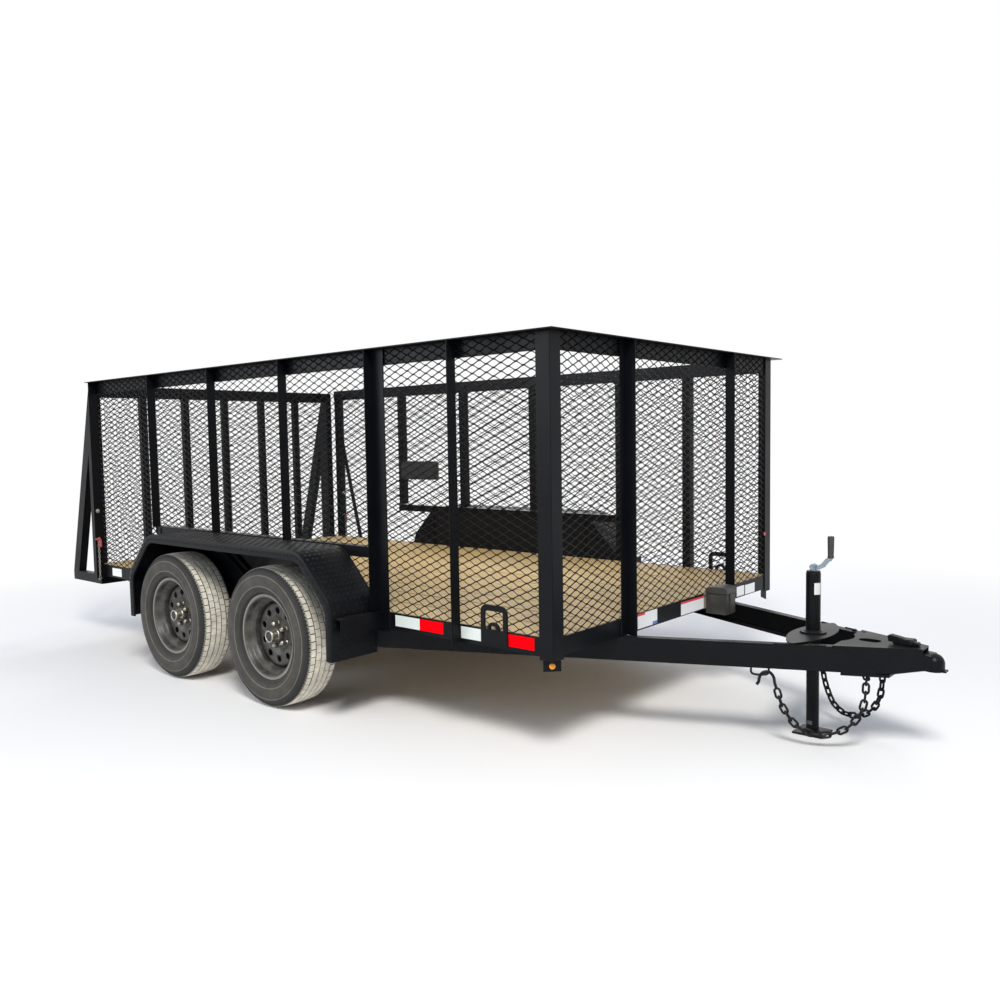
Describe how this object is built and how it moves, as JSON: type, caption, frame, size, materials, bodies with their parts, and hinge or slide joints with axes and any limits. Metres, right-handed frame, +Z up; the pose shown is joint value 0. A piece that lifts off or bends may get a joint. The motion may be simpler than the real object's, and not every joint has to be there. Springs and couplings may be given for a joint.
{
  "type": "utility trailer",
  "caption": "Tandem-axle open utility trailer with high expanded-metal sides, a plank deck, bent-plate fenders, a full-height ramp gate, a ball coupler and a crank jack.",
  "frame": {"origin": "on the ground, under the middle of the whole trailer's length and width", "axes": "+X forward to the coupler, +Y to the trailer's left, +Z up; it stands level on its wheels and jack"},
  "size_m": [5.291, 2.51, 1.68],
  "materials": {
    "black_steel": "gloss",
    "boards": "matte",
    "tyre": "matte",
    "rim": "satin",
    "zinc": "satin",
    "box_plastic": "matte",
    "amber_lens": "gloss",
    "red_lens": "gloss"
  },
  "bodies": {
    "chassis": {"side_rail_right": "black_steel", "side_rail_left": "black_steel", "front_rail": "black_steel", "rear_sill": "black_steel", "crossmembers": "black_steel", "posts_right": "black_steel", "posts_left": "black_steel", "posts_front": "black_steel", "top_rail_right": "black_steel", "top_rail_left": "black_steel", "top_rail_front": "black_steel", "mesh_right": "black_steel", "mesh_left": "black_steel", "mesh_front": "black_steel", "fender_right": "black_steel", "fender_left": "black_steel", "wall_rail_right": "black_steel", "wall_rail_left": "black_steel", "fender_arms": "black_steel", "axle_front": "black_steel", "axle_rear": "black_steel", "leaf_springs": "black_steel", "spring_hangers": "black_steel", "tongue_right": "black_steel", "tongue_left": "black_steel", "jack_plate": "black_steel", "coupler": "black_steel", "jack_tube": "black_steel", "gate_hinges": "black_steel", "tie_downs": "black_steel", "chain_plate": "black_steel", "wall_brace": "black_steel", "deck_boards": "boards", "coupler_latch": "zinc", "jack_crank": "zinc", "safety_chains": "zinc", "battery_box": "box_plastic", "wall_case": "box_plastic", "marker_lamps": "amber_lens", "tail_lamps": "red_lens"},
    "wheel_front_right": {"tyre_front_right": "tyre", "rim_front_right": "rim", "hub_front_right": "zinc"},
    "wheel_front_left": {"tyre_front_left": "tyre", "rim_front_left": "rim", "hub_front_left": "zinc"},
    "wheel_rear_right": {"tyre_rear_right": "tyre", "rim_rear_right": "rim", "hub_rear_right": "zinc"},
    "wheel_rear_left": {"tyre_rear_left": "tyre", "rim_rear_left": "rim", "hub_rear_left": "zinc"},
    "gate": {"gate_sill": "black_steel", "gate_uprights": "black_steel", "gate_head": "black_steel", "gate_mesh": "black_steel", "gate_truss_right": "black_steel", "gate_truss_left": "black_steel"},
    "jack": {"jack_leg": "zinc"}
  },
  "joints": [
    {"name": "spin_front_right", "type": "hinge", "parent": "chassis", "child": "wheel_front_right", "pos_m": [-0.0615, -1.13, 0.34], "axis": [0, 1, 0], "continuous": true},
    {"name": "spin_front_left", "type": "hinge", "parent": "chassis", "child": "wheel_front_left", "pos_m": [-0.0615, 1.13, 0.34], "axis": [0, 1, 0], "continuous": true},
    {"name": "spin_rear_right", "type": "hinge", "parent": "chassis", "child": "wheel_rear_right", "pos_m": [-0.9405, -1.13, 0.34], "axis": [0, 1, 0], "continuous": true},
    {"name": "spin_rear_left", "type": "hinge", "parent": "chassis", "child": "wheel_rear_left", "pos_m": [-0.9405, 1.13, 0.34], "axis": [0, 1, 0], "continuous": true},
    {"name": "gate_hinge", "type": "hinge", "parent": "chassis", "child": "gate", "pos_m": [-2.2655, 0, 0.39], "axis": [0, -1, 0], "range_deg": [0, 107]},
    {"name": "jack_slide", "type": "slide", "parent": "chassis", "child": "jack", "axis": [0, 0, 1], "range_m": [-0.13, 0.19]}
  ]
}
